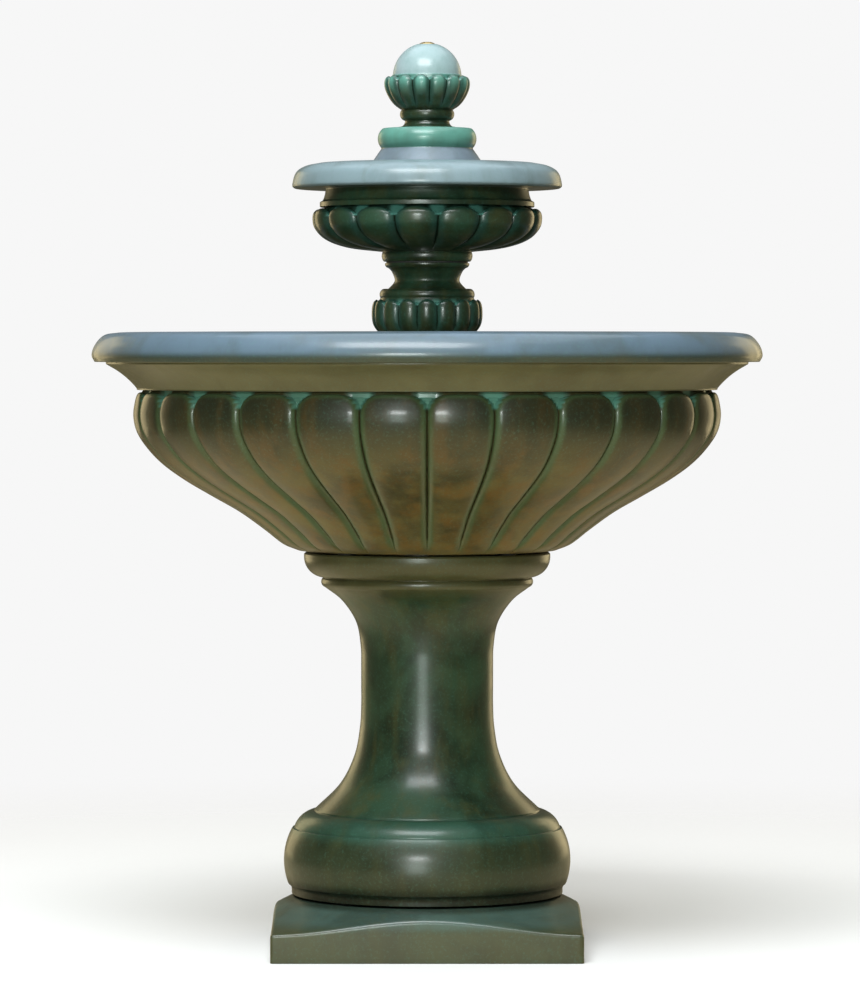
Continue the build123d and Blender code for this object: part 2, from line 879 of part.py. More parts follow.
with BuildPart() as casing:
    with BuildSketch(across(pump_body_front)):
        with Locations((0, pump_axis)):
            Circle(casing_radius)
    extrude(amount=casing_length)
    with BuildSketch(Plane.XY.offset(pump_axis)):
        Circle(outlet_radius)
    extrude(amount=outlet_top - pump_axis)
    with BuildSketch(across(pump_body_front)):
        with Locations((0, pump_axis)):
            Circle(chamber_radius)
    extrude(amount=casing_length - casing_wall, mode=Mode.SUBTRACT)
    with BuildSketch(Plane.XY.offset(pump_axis + chamber_radius - 4)):
        Circle(outlet_bore)
    extrude(amount=outlet_top - pump_axis, mode=Mode.SUBTRACT)
    with BuildSketch(across(casing_front + casing_wall)):
        with Locations((0, pump_axis)):
            with PolarLocations(inlet_slot_radius, 3, start_angle=90):
                inlet = CenterArc((-inlet_slot_radius, 0), inlet_slot_radius, -38, 76)
                SlotArc(inlet, height=inlet_slot_width)
            Circle(bush_radius)
    extrude(amount=casing_wall, mode=Mode.SUBTRACT)
save(casing.part, "pump_casing")

with BuildPart() as seal:
    with BuildSketch(across(pump_body_front + 1.4)):
        with Locations((0, pump_axis)):
            Circle(chamber_radius + 2.9)
            Circle(chamber_radius + 0.6, mode=Mode.SUBTRACT)
    extrude(amount=1.4)
save(seal.part, "casing_seal")

# ---------------------------------------------------------------- strainer cover and flow dial
slot_bank = pump_case_height / 2 - 1.5 * slot_pitch
with BuildPart() as strainer:
    with BuildSketch(across(casing_front)):
        with Locations((0, pump_axis)):
            RectangleRounded(pump_width, pump_case_height, case_corner)
    extrude(amount=strainer_length)
    fillet(strainer.faces().sort_by(Axis.Y)[0].edges(), radius=4)
    with BuildSketch(across(casing_front)):
        with Locations((0, pump_axis)):
            RectangleRounded(
                pump_width - 2 * strainer_wall, pump_case_height - 2 * strainer_wall, 5
            )
    extrude(amount=strainer_length - strainer_wall, mode=Mode.SUBTRACT)
    with BuildSketch(across(casing_front)):
        with Locations((0, pump_axis)):
            for side in (-1, 1):
                with Locations((side * (dial_radius + 6), 0)):
                    with GridLocations(0, slot_pitch, 1, slot_count):
                        SlotOverall(8.0, slot_width)
            with Locations((0, slot_bank), (0, -slot_bank)):
                with GridLocations(0, slot_pitch, 1, 2):
                    SlotOverall(20.0, slot_width)
            Circle(dial_hole)
    extrude(amount=strainer_length + 1, mode=Mode.SUBTRACT)
    with BuildSketch(Plane.YZ):
        with Locations(((casing_front + strainer_front) / 2, pump_axis)):
            with GridLocations(0, slot_pitch, 1, slot_count):
                SlotOverall(strainer_length - 14, slot_width)
    extrude(amount=pump_width, both=True, mode=Mode.SUBTRACT)
save(strainer.part, "strainer_cover")

with BuildPart() as dial:
    with BuildSketch(across(strainer_front - dial_gap)):
        with Locations((0, pump_axis)):
            Circle(dial_radius)
    extrude(amount=dial_thickness)
    with BuildSketch(across(strainer_front - dial_gap - dial_thickness)):
        with Locations((0, pump_axis)):
            SlotOverall(2 * dial_radius - 4, 4.0, rotation=90)
    extrude(amount=4)
    with BuildSketch(across(strainer_front - dial_gap)):
        with Locations((0, pump_axis)):
            Circle(dial_hole - 0.3)
    extrude(amount=-(dial_gap + strainer_wall + 1))
    with BuildSketch(across(strainer_front + strainer_wall + 2)):
        with Locations((0, pump_axis)):
            Circle(dial_hole + 1)
    extrude(amount=1.2)
save(dial.part, "flow_dial")

# ---------------------------------------------------------------- rotor, shaft and bushes
impeller_back = pump_body_front - 1.5
magnet_back = well_back - 2.5
with BuildPart() as magnet:
    with BuildSketch(across(magnet_back)):
        with Locations((0, pump_axis)):
            Circle(magnet_radius)
            Circle(shaft_pin_radius + 0.1, mode=Mode.SUBTRACT)
    extrude(amount=magnet_back - impeller_back - 1)
save(magnet.part, "rotor_magnet")

with BuildPart() as impeller:
    with BuildSketch(across(impeller_back + 1)):
        with Locations((0, pump_axis)):
            Circle(impeller_radius)
    extrude(amount=2)
    with BuildSketch(across(impeller_back)):
        with Locations((0, pump_axis)):
            Circle(5)
            with PolarLocations(0, impeller_blades):
                with Locations((impeller_radius / 2, 0)):
                    Rectangle(impeller_radius, 1.8)
    extrude(amount=impeller_length)
    with BuildSketch(across(impeller_back + 1)):
        with Locations((0, pump_axis)):
            Circle(shaft_pin_radius + 0.1)
    extrude(amount=impeller_length + 5, mode=Mode.SUBTRACT)
save(impeller.part, "impeller")

bush_back = well_back + bush_length
bush_front = casing_front + casing_wall
with BuildPart() as pin:
    with BuildSketch(across(bush_back - 0.5)):
        with Locations((0, pump_axis)):
            Circle(shaft_pin_radius)
    extrude(amount=bush_back - 0.5 - casing_front - 0.5)
save(pin.part, "rotor_shaft")

with BuildPart() as bushes:
    for back in (bush_back, bush_front):
        with BuildSketch(across(back)):
            with Locations((0, pump_axis)):
                Circle(bush_radius - 0.05)
                Circle(shaft_pin_radius + 0.05, mode=Mode.SUBTRACT)
        extrude(amount=bush_length)
save(bushes.part, "shaft_bushes")

# ---------------------------------------------------------------- feet and gland
with BuildPart() as feet:
    with BuildSketch(Plane.XZ):
        with BuildLine():
            Polyline(
                (0, basin_floor + 1),
                (4, basin_floor + 1),
                (8, basin_floor),
                (9, basin_floor),
                (6, basin_floor + 5),
                (5, pump_low),
                (2.4, pump_low),
                (2.4, pump_low + 4.5),
                (0, pump_low + 4.5),
                close=True,
            )
        make_face()
    revolve(axis=Axis.Z)
cup_places = Locations(*[(x, y) for y in foot_y for x in (foot_x, -foot_x)])
suction_feet = Compound(children=[place * feet.part for place in cup_places])
save(suction_feet, "suction_feet")

with BuildPart() as gland:
    with BuildSketch(Plane.XY.offset(pump_low + pump_case_height - 7)):
        with Locations((0, gland_y)):
            Circle(4.4)
    extrude(amount=7)
    with BuildSketch(Plane.XY.offset(pump_low + pump_case_height)):
        with Locations((0, gland_y)):
            RegularPolygon(7.0, 6)
    extrude(amount=5)
    with BuildSketch(Plane.XY.offset(pump_low + pump_case_height + 5)):
        with Locations((0, gland_y)):
            Circle(5.5)
    extrude(amount=7, taper=12)
    with BuildSketch(Plane.XY.offset(pump_low + pump_case_height - 7)):
        with Locations((0, gland_y)):
            Circle(2.6)
    extrude(amount=20, mode=Mode.SUBTRACT)
save(gland.part, "cord_gland")

# ---------------------------------------------------------------- hose and its clamp
barb_radius = pipe_radius
barb_top = outlet_top + 18.0
with BuildPart() as barb:
    with BuildSketch(Plane.XZ):
        with BuildLine():
            Polyline(
                (outlet_bore - 2, outlet_top - 10),
                (outlet_bore - 0.05, outlet_top - 10),
                (outlet_bore - 0.05, outlet_top),
                (outlet_radius + 2, outlet_top),
                (outlet_radius + 2, outlet_top + 4),
                (barb_radius, outlet_top + 4),
                (barb_radius, barb_top - 1),
                (barb_radius - 1, barb_top),
                (outlet_bore - 2, barb_top),
                close=True,
            )
        make_face()
    revolve(axis=Axis.Z)
save(barb.part, "outlet_barb")

hose_bore = pipe_radius + pipe_slip
hose_base = outlet_top + 4.0
pipe_foot = house_top - 58.0
hose_top = pipe_foot + 22.0
hose_radius = hose_bore + hose_wall
save(ring(hose_bore, hose_radius, hose_base, hose_top), "supply_hose")

band_bore = hose_radius + band_slip
band_low = hose_base + 2.0
screw_x = band_bore + lug_length - clamp_screw_radius - 2.5
screw_z = band_low + band_width / 2
with BuildPart() as band:
    with BuildSketch(Plane.XY.offset(band_low)):
        Circle(band_bore + band_thickness)
        with Locations((band_bore + lug_length / 2, 0)):
            Rectangle(lug_length, lug_width)
        Circle(band_bore, mode=Mode.SUBTRACT)
    extrude(amount=band_width)
    with BuildSketch(across(lug_width / 2)):
        with Locations((screw_x, screw_z)):
            Circle(clamp_screw_radius + band_slip)
    extrude(amount=lug_width, mode=Mode.SUBTRACT)
save(band.part, "hose_clamp")

with BuildPart() as screw:
    with BuildSketch(across(lug_width / 2 + 4)):
        with Locations((screw_x, screw_z)):
            Circle(clamp_screw_radius)
    extrude(amount=lug_width + 4)
    with BuildSketch(across(-lug_width / 2)):
        with Locations((screw_x, screw_z)):
            RegularPolygon(clamp_screw_radius + 1.5, 6)
    extrude(amount=4)
    with BuildSketch(across(-lug_width / 2 - 2.8)):
        with Locations((screw_x, screw_z)):
            Rectangle(2 * clamp_screw_radius, 1.0)
    extrude(amount=1.2, mode=Mode.SUBTRACT)
save(screw.part, "clamp_screw")

# ---------------------------------------------------------------- pipes and bulkhead fitting
fitting_flange_base = upper_floor + washer_thickness
fitting_flange_top = fitting_flange_base + 6.0
fitting_top = fitting_flange_top + 26.0
recess_ceiling = upper_base + nut_recess_height
fitting_foot = upper_base + 9.0
nut_top = recess_ceiling - washer_thickness
lower_socket_top = fitting_foot + 24.0
upper_socket_base = lower_socket_top + 6.0

with BuildPart() as fitting:
    with BuildSketch(Plane.XZ):
        with BuildLine():
            Polyline(
                (pipe_radius + socket_slip, fitting_foot),
                (fitting_thread_radius, fitting_foot),
                (fitting_thread_radius, fitting_flange_base),
                (fitting_flange_radius, fitting_flange_base),
                (fitting_flange_radius, fitting_flange_top),
                (fitting_thread_radius + 1, fitting_flange_top),
                (fitting_thread_radius + 1, fitting_top),
                (pipe_radius + 4 * socket_slip, fitting_top),
                (pipe_radius + 4 * socket_slip, upper_socket_base),
                (pipe_bore, upper_socket_base),
                (pipe_bore, lower_socket_top),
                (pipe_radius + socket_slip, lower_socket_top),
                close=True,
            )
        make_face()
    revolve(axis=Axis.Z)
save(fitting.part, "bulkhead_fitting")

washers = Compound(
    children=[
        ring(fitting_thread_radius + 0.1, fitting_flange_radius, low, low + washer_thickness)
        for low in (upper_floor, nut_top)
    ]
)
save(washers, "bulkhead_washers")

with BuildPart() as nut:
    with BuildSketch(Plane.XY.offset(nut_top - nut_height)):
        RegularPolygon(fitting_flange_radius, 6)
        Circle(fitting_thread_radius + 0.1, mode=Mode.SUBTRACT)
    extrude(amount=nut_height)
save(nut.part, "bulkhead_nut")

save(ring(pipe_bore, pipe_radius, pipe_foot, lower_socket_top), "riser_pipe")

ring_levels = (fitting_top - 20.0, fitting_top - 13.0)
finial_pipe_foot = upper_socket_base + 2.0
finial_pipe_top = ball_top - 9.0
finial_pipe_bore = pipe_radius - 2 * ring_groove_depth
ring_inner = pipe_radius - ring_groove_depth + ring_slack / 2
ring_outer = pipe_radius + ring_slack
with BuildPart() as finial_pipe:
    with BuildSketch(Plane.XY.offset(finial_pipe_foot)):
        Circle(pipe_radius)
    extrude(amount=finial_pipe_top - finial_pipe_foot)
    with BuildSketch(Plane.XY.offset(finial_pipe_foot)):
        Circle(finial_pipe_bore)
    extrude(amount=finial_pipe_top - finial_pipe_foot, mode=Mode.SUBTRACT)
    for low in ring_levels:
        with BuildSketch(Plane.XY.offset(low)):
            Circle(pipe_radius + 1)
            Circle(pipe_radius - ring_groove_depth, mode=Mode.SUBTRACT)
        extrude(amount=ring_width, mode=Mode.SUBTRACT)
save(finial_pipe.part, "finial_pipe")

pipe_rings = Compound(
    children=[
        ring(ring_inner, ring_outer, low + ring_slack, low + ring_width - ring_slack)
        for low in ring_levels
    ]
)
save(pipe_rings, "pipe_o_rings")

# ---------------------------------------------------------------- jet nozzle at the top of the ball
nozzle_top = ball_top + 0.8
with BuildPart() as nozzle:
    with BuildSketch(Plane.XZ):
        with BuildLine():
            rim = Polyline(
                (finial_pipe_bore - 1.5, finial_pipe_top - 14),
                (finial_pipe_bore - 0.05, finial_pipe_top - 14),
                (finial_pipe_bore - 0.05, cap_seat + 1),
                (cap_radius, cap_seat + 1),
                (cap_radius, cap_seat + 3),
            )
            dome = ThreePointArc(
                rim @ 1,
                (cap_radius * 0.75, nozzle_top - 1.6),
                (finial_pipe_bore, nozzle_top),
            )
            Polyline(
                dome @ 1,
                (finial_pipe_bore - 1.5, nozzle_top),
                (finial_pipe_bore - 1.5, finial_pipe_top - 14),
            )
        make_face()
    revolve(axis=Axis.Z)
save(nozzle.part, "jet_nozzle")
save(ring(finial_pipe_bore + 0.1, cap_radius, cap_seat, cap_seat + 1.0), "nozzle_washer")
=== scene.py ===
"""A two-tier garden fountain in patinated cast stone, turned, gadrooned and sealed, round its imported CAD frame."""

import json
import math

import bmesh
import bpy
from mathutils import Matrix, Vector


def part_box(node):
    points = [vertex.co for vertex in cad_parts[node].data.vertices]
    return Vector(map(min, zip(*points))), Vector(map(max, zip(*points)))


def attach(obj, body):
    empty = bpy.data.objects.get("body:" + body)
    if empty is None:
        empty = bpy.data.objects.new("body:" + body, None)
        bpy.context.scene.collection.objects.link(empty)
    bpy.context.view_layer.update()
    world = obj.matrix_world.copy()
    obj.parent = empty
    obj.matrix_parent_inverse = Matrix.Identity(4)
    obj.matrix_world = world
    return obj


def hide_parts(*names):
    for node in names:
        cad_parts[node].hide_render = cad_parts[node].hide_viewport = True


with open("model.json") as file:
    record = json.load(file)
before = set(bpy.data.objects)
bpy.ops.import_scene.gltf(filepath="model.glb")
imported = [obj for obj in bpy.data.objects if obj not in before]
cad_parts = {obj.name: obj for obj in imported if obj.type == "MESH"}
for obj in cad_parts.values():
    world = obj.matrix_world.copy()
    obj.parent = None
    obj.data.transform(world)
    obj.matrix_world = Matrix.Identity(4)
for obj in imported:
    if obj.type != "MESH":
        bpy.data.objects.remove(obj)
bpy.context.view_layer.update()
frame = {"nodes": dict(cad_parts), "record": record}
nodes = frame["nodes"]

MM = 0.001
FRONT = -math.pi / 2


# ------------------------------------------------------------------ outlines of the turned work
class Outline:
    """Template of a turned piece, in millimetres: radius, and height above the foot of its CAD node."""

    def __init__(self, name, radius, height):
        self.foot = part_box(name)[0].z
        self.places = [(radius, height)]
        self.marks = [-1.0]

    def run(self, *places):
        """Straight runs to each place in turn."""
        for place in places:
            self.places.append(place)
            self.marks.append(-1.0)
        return self

    def arc(self, through, end, steps=8):
        """A round stretch that passes through one place and stops at another."""
        (ax, ay), (bx, by), (cx, cy) = self.places[-1], through, end
        d = 2 * (ax * (by - cy) + bx * (cy - ay) + cx * (ay - by))
        a2, b2, c2 = ax * ax + ay * ay, bx * bx + by * by, cx * cx + cy * cy
        ox = (a2 * (by - cy) + b2 * (cy - ay) + c2 * (ay - by)) / d
        oy = (a2 * (cx - bx) + b2 * (ax - cx) + c2 * (bx - ax)) / d
        start = math.atan2(ay - oy, ax - ox)
        middle = math.atan2(by - oy, bx - ox)
        finish = math.atan2(cy - oy, cx - ox)
        turn = (finish - start) % (2 * math.pi)
        if (middle - start) % (2 * math.pi) > turn:
            turn -= 2 * math.pi
        radius = math.hypot(ax - ox, ay - oy)
        for step in range(1, steps + 1):
            angle = start + turn * step / steps
            self.places.append((ox + radius * math.cos(angle), oy + radius * math.sin(angle)))
            self.marks.append(-1.0)
        return self

    def curve(self, *places, steps=5, marked=False):
        """An easy curve through the places; a marked one is a belly that gets lobes later."""
        line = [self.places[-1], *places]
        line = [mirrored(line[1], line[0]), *line, mirrored(line[-2], line[-1])]
        first = len(self.places) - 1
        for index in range(len(line) - 3):
            for step in range(1, steps + 1):
                self.places.append(blended(line[index : index + 4], step / steps))
        run = [0.0]
        for here, there in zip(self.places[first:], self.places[first + 1 :]):
            run.append(run[-1] + math.dist(here, there))
        if marked:
            self.belly_length = run[-1]
        self.marks[first:] = [share / run[-1] if marked else -1.0 for share in run]
        return self


def mirrored(place, centre):
    return (2 * centre[0] - place[0], 2 * centre[1] - place[1])


def blended(four, t):
    """A point of the curve between the middle two of four places."""
    a, b, c, d = four
    return tuple(
        0.5
        * (
            2 * b[i]
            + (c[i] - a[i]) * t
            + (2 * a[i] - 5 * b[i] + 4 * c[i] - d[i]) * t * t
            + (3 * b[i] - a[i] - 3 * c[i] + d[i]) * t * t * t
        )
        for i in range(2)
    )


def corner_turn(vertex):
    """How sharply a template turns at a corner, in radians."""
    if len(vertex.link_edges) != 2:
        return 0.0
    first, second = (edge.other_vert(vertex).co - vertex.co for edge in vertex.link_edges)
    return math.pi - first.angle(second, math.pi)


def turned(outline, columns, softness=1.2 * MM):
    """Spins a closed template round the Z axis after easing its sharp corners."""
    bm = bmesh.new()
    along = bm.verts.layers.float.new("along")
    ring = []
    for (radius, height), mark in zip(outline.places, outline.marks):
        corner = bm.verts.new((0.0, -radius * MM, outline.foot + height * MM))
        corner[along] = mark
        ring.append(corner)
    solid_core = outline.places[0][0] == outline.places[-1][0] == 0
    for first, second in zip(ring, ring[1:] if solid_core else ring[1:] + ring[:1]):
        bm.edges.new((first, second))
    bmesh.ops.remove_doubles(bm, verts=bm.verts[:], dist=0.02 * MM)
    sharp = [v for v in bm.verts if v[along] < 0 and corner_turn(v) > math.radians(25)]
    bmesh.ops.bevel(
        bm,
        geom=sharp,
        offset=softness,
        offset_type="OFFSET",
        segments=3,
        profile=0.5,
        affect="VERTICES",
        clamp_overlap=True,
        material=-1,
    )
    bmesh.ops.spin(
        bm,
        geom=bm.verts[:] + bm.edges[:],
        cent=(0, 0, 0),
        axis=(0, 0, 1),
        angle=2 * math.pi,
        steps=columns,
        use_merge=True,
        use_duplicate=False,
    )
    bmesh.ops.remove_doubles(bm, verts=bm.verts[:], dist=0.01 * MM)
    bmesh.ops.recalc_face_normals(bm, faces=bm.faces[:])
    return bm


# ------------------------------------------------------------------ gadroons
# share of its full depth that a groove has low on the belly
FOOT_DEPTH = 0.4


def crowd_columns(bm, lobes, turn):
    """Moves the spun columns towards the grooves between lobes, where the shape needs them."""
    pitch = 2 * math.pi / lobes
    for vertex in bm.verts:
        radius = math.hypot(vertex.co.x, vertex.co.y)
        angle = math.atan2(vertex.co.y, vertex.co.x) - FRONT
        lobe = math.floor(angle / pitch + 1e-6)
        across = 2 * (angle / pitch - lobe) - 1
        across = math.sin(across * math.pi / 2)
        angle = FRONT + turn + (lobe + (across + 1) / 2) * pitch
        vertex.co.x = radius * math.cos(angle)
        vertex.co.y = radius * math.sin(angle)


def gadroon(bm, lobes, turn, length, depth, corner, shoulder, crown, fade=0.12):
    """Sinks the grooves and the spandrels between round-topped lobes into the marked rows.

    length is the belly's length from foot to top, depth how far the grooves lie under the crests, corner the
    radius of each lobe's top corners as a share of its half width, shoulder the width of its rounded edge,
    crown the share of the depth in the gentle swell across it, and fade the share of the belly's length in
    which the grooves run out at its foot."""
    along = bm.verts.layers.float["along"]
    groove = bm.verts.layers.float.new("groove")
    spandrel = bm.verts.layers.float.new("spandrel")
    pitch = 2 * math.pi / lobes
    bm.normal_update()
    moves = []
    for vertex in bm.verts:
        share = vertex[along]
        if share < 0:
            continue
        radius = math.hypot(vertex.co.x, vertex.co.y)
        angle = math.atan2(vertex.co.y, vertex.co.x) - FRONT - turn
        across = abs(2 * ((angle / pitch) % 1.0) - 1)
        half = math.pi * radius / lobes
        place = across * half
        drop = (1 - share) * length
        bend = corner * half
        if drop < bend and place > half - bend:
            inside = bend - math.hypot(place - (half - bend), bend - drop)
        else:
            inside = min(half - place, drop)
        edge = min(shoulder, 0.5 * half)
        rise = 1 - min(max(inside, 0.0), edge) / edge
        swell = 1 - (1 - crown) * (1 - math.sqrt(1 - rise * rise)) - crown * (place / half) ** 2
        swell = swell if inside > 0 else 0.0
        here = depth * (FOOT_DEPTH + (1 - FOOT_DEPTH) * min(share / 0.5, 1.0))
        here *= min(share / fade, 1.0) ** 0.7
        moves.append((vertex, vertex.normal * here * (1 - max(swell, 0.0))))
        vertex[groove] = max(0.0, 1 - max(inside, 0.0) / (1.35 * edge)) * min(share / fade, 1.0)
        between = min(max((across - 0.55) / 0.2, 0.0), 1.0)
        vertex[spandrel] = between if inside < 0.25 * edge and drop < 0.75 * bend else 0.0
    for vertex, move in moves:
        vertex.co -= move


def lobed(outline, lobes, columns, depth, turn=0.0, softness=1.2 * MM, **profile):
    """A turned piece with its marked belly gadrooned, spun with a number of columns for each lobe."""
    bm = turned(outline, lobes * columns, softness)
    crowd_columns(bm, lobes, turn)
    gadroon(bm, lobes, turn, outline.belly_length * MM, depth, **profile)
    return bm


# ------------------------------------------------------------------ finished pieces
def finished(name, bm, body, slot, material, *replaced):
    """Turns a bmesh into a smooth piece that rides on its body and stands for its CAD nodes."""
    for face in bm.faces:
        face.smooth = True
    mesh = bpy.data.meshes.new(name)
    bm.to_mesh(mesh)
    bm.free()
    mesh.set_sharp_from_angle(angle=math.radians(50))
    piece = bpy.data.objects.new(name, mesh)
    bpy.context.scene.collection.objects.link(piece)
    mesh.materials.append(material)
    weighted = piece.modifiers.new("even_normals", "WEIGHTED_NORMAL")
    weighted.keep_sharp = True
    weighted.weight = 80
    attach(piece, body)
    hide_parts(*replaced)


# ------------------------------------------------------------------ shader helpers
STREAK_STRETCH = 0.22


def node(tree, kind, **settings):
    """A new shader node with its settings."""
    made = tree.nodes.new(kind)
    for key, value in settings.items():
        setattr(made, key, value)
    return made


def noise(tree, vector, scale, detail, roughness, distortion=0.0):
    made = node(tree, "ShaderNodeTexNoise")
    made.inputs["Scale"].default_value = scale
    made.inputs["Detail"].default_value = detail
    made.inputs["Roughness"].default_value = roughness
    made.inputs["Distortion"].default_value = distortion
    tree.links.new(vector, made.inputs["Vector"])
    return made.outputs["Fac"]


def ranged(tree, value, low, high, out_low=0.0, out_high=1.0):
    made = node(tree, "ShaderNodeMapRange", interpolation_type="SMOOTHSTEP")
    made.inputs["From Min"].default_value = low
    made.inputs["From Max"].default_value = high
    made.inputs["To Min"].default_value = out_low
    made.inputs["To Max"].default_value = out_high
    tree.links.new(value, made.inputs["Value"])
    return made.outputs["Result"]


def maths(tree, operation, first, second):
    """Works on two values, each a number or a socket."""
    made = node(tree, "ShaderNodeMath", operation=operation)
    for socket, value in zip(made.inputs, (first, second)):
        if isinstance(value, (int, float)):
            socket.default_value = value
        else:
            tree.links.new(value, socket)
    return made.outputs["Value"]


def mixed(tree, factor, first, second):
    """Mixes two colours, each a colour or a socket."""
    made = node(tree, "ShaderNodeMix", data_type="RGBA")
    for socket, value in ((made.inputs[0], factor), (made.inputs[6], first), (made.inputs[7], second)):
        if isinstance(value, tuple):
            socket.default_value = (*value, 1.0)
        elif isinstance(value, (int, float)):
            socket.default_value = value
        else:
            tree.links.new(value, socket)
    return made.outputs[2]


def attribute(tree, name):
    return node(tree, "ShaderNodeAttribute", attribute_name=name).outputs["Fac"]


def patina_group():
    """Clouds, streaks, speckle and fine relief of a patina that was dabbed and sprayed on a casting."""
    group = bpy.data.node_groups.new("patina", "ShaderNodeTree")
    position = node(group, "ShaderNodeTexCoord").outputs["Object"]
    stretch = node(group, "ShaderNodeMapping")
    stretch.inputs["Scale"].default_value = (1.0, 1.0, STREAK_STRETCH)
    group.links.new(position, stretch.inputs["Vector"])
    grain = noise(group, position, 420.0, 2.0, 0.5)
    swell = noise(group, position, 26.0, 3.0, 0.5)
    layers = {
        "Clouds": ranged(group, noise(group, position, 9.0, 5.0, 0.6, 0.4), 0.36, 0.66),
        "Streaks": ranged(group, noise(group, stretch.outputs["Vector"], 30.0, 5.0, 0.62, 0.2), 0.42, 0.72),
        "Speckle": ranged(group, noise(group, position, 260.0, 3.0, 0.7), 0.50, 0.72),
        "Relief": maths(group, "ADD", maths(group, "MULTIPLY", grain, 0.25), swell),
    }
    for label in layers:
        group.interface.new_socket(label, in_out="OUTPUT", socket_type="NodeSocketFloat")
    out = node(group, "NodeGroupOutput")
    for label, value in layers.items():
        group.links.new(value, out.inputs[label])
    return group


PATINA = patina_group()


def surface(name, metallic=0.0, coat=0.0, coat_roughness=0.1, specular=0.5):
    """A new material and its principled shader, with the values that are the same all over."""
    material = bpy.data.materials.new(name)
    material.use_nodes = True
    tree = material.node_tree
    shader = tree.nodes["Principled BSDF"]
    shader.inputs["Metallic"].default_value = metallic
    shader.inputs["Coat Weight"].default_value = coat
    shader.inputs["Coat Roughness"].default_value = coat_roughness
    shader.inputs["Specular IOR Level"].default_value = specular
    return material, tree, shader


def bumped(tree, shader, height, strength, distance):
    bump = node(tree, "ShaderNodeBump")
    bump.inputs["Strength"].default_value = strength
    bump.inputs["Distance"].default_value = distance
    tree.links.new(height, bump.inputs["Height"])
    tree.links.new(bump.outputs["Normal"], shader.inputs["Normal"])


def banded(tree, colour, height, cover, bands):
    """Lays tones over a colour between two levels: (low, high, softness, tone, share), in metres."""
    for low, high, softness, tone, share in bands:
        above = ranged(tree, height, low - softness, low + softness)
        below = ranged(tree, height, high - softness, high + softness, share, 0.0)
        mask = maths(tree, "MULTIPLY", maths(tree, "MULTIPLY", above, below), cover)
        colour = mixed(tree, mask, colour, tone)
    return colour


def patinated(
    name, dark, body, warm, deposit, bright, warm_share, bands=(), coat=0.4, coat_roughness=0.17, sealed_from=None
):
    """Patina on cast stone: a dark ground, a body colour, warm streaks and a deposit in the hollows, with painted
    shade down the middle of each groove.

    sealed_from is the height where the clear seal starts; below it the coat is left off, so that the painted shade
    there takes no reflection."""
    material, tree, shader = surface(name, coat=coat, coat_roughness=coat_roughness, specular=0.3)
    patina = node(tree, "ShaderNodeGroup", node_tree=PATINA)
    clouds = patina.outputs["Clouds"]
    streaks = patina.outputs["Streaks"]
    ground = mixed(tree, clouds, dark, body)
    warmed = mixed(tree, maths(tree, "MULTIPLY", streaks, warm_share), ground, warm)
    height = node(tree, "ShaderNodeSeparateXYZ")
    tree.links.new(node(tree, "ShaderNodeTexCoord").outputs["Object"], height.inputs["Vector"])
    wear = maths(tree, "ADD", clouds, maths(tree, "MULTIPLY", streaks, -0.6))
    thinned = ranged(tree, wear, -0.6, 1.0, 0.6, 1.0)
    toned = banded(tree, warmed, height.outputs["Z"], thinned, bands)
    groove = attribute(tree, "groove")
    laid = maths(tree, "MULTIPLY", ranged(tree, groove, 0.0, 0.65), thinned)
    hollowed = mixed(tree, laid, toned, deposit)
    # painted shade: a dark line down the middle of each groove, where the crease falls into shadow; the green
    # deposit above is real patina
    crease_shaded = mixed(tree, ranged(tree, groove, 0.84, 0.97), hollowed, dark)
    touched = mixed(tree, maths(tree, "MULTIPLY", attribute(tree, "spandrel"), thinned), crease_shaded, bright)
    flecked = mixed(tree, maths(tree, "MULTIPLY", patina.outputs["Speckle"], 0.14), touched, bright)
    tree.links.new(flecked, shader.inputs["Base Color"])
    tree.links.new(ranged(tree, clouds, 0.0, 1.0, 0.36, 0.5), shader.inputs["Roughness"])
    bumped(tree, shader, patina.outputs["Relief"], 0.22, 0.7 * MM)
    if sealed_from:
        seal = ranged(tree, height.outputs["Z"], sealed_from - 0.006, sealed_from + 0.006, 0.0, coat)
        tree.links.new(seal, shader.inputs["Coat Weight"])
    return material


GREEN = {
    "coat_roughness": 0.22,
    "dark": (0.006, 0.015, 0.007),
    "body": (0.018, 0.052, 0.027),
    "warm": (0.050, 0.050, 0.014),
    "deposit": (0.012, 0.044, 0.032),
    "bright": (0.060, 0.190, 0.155),
    "warm_share": 0.55,
}
BROWN = {
    "coat": 0.3,
    "dark": (0.046, 0.038, 0.014),
    "body": (0.128, 0.102, 0.033),
    "warm": (0.140, 0.070, 0.013),
    "deposit": (0.050, 0.080, 0.034),
    "bright": (0.085, 0.230, 0.175),
    "warm_share": 0.6,
}
OLIVE = (0.120, 0.112, 0.052)
SHADE = (0.010, 0.016, 0.009)
TURQUOISE = (0.100, 0.280, 0.230)

green_patina = patinated("green_patina", **GREEN)
plinth_patina = patinated(
    "plinth_patina",
    bands=[
        (0.0, 0.046, 0.010, (0.054, 0.054, 0.022), 0.8),
        (0.046, 0.100, 0.006, (0.060, 0.100, 0.090), 0.7),
        # painted shade: the slab's top darkened round the pedestal's seat, under the torus
        (0.0665, 0.100, 0.003, SHADE, 0.9),
    ],
    **GREEN,
)
pedestal_patina = patinated(
    "pedestal_patina",
    bands=[
        (0.500, 0.560, 0.010, (0.066, 0.056, 0.020), 0.8),
        (0.160, 0.190, 0.008, (0.020, 0.070, 0.050), 0.7),
        (0.080, 0.158, 0.012, (0.016, 0.020, 0.008), 0.75),
        # painted shade: near black under the torus, down to the pedestal's foot
        (0.050, 0.094, 0.007, (0.003, 0.005, 0.002), 1.0),
    ],
    # no clear coat below this height, so the painted shade under the torus takes no reflection
    sealed_from=0.098,
    **GREEN,
)
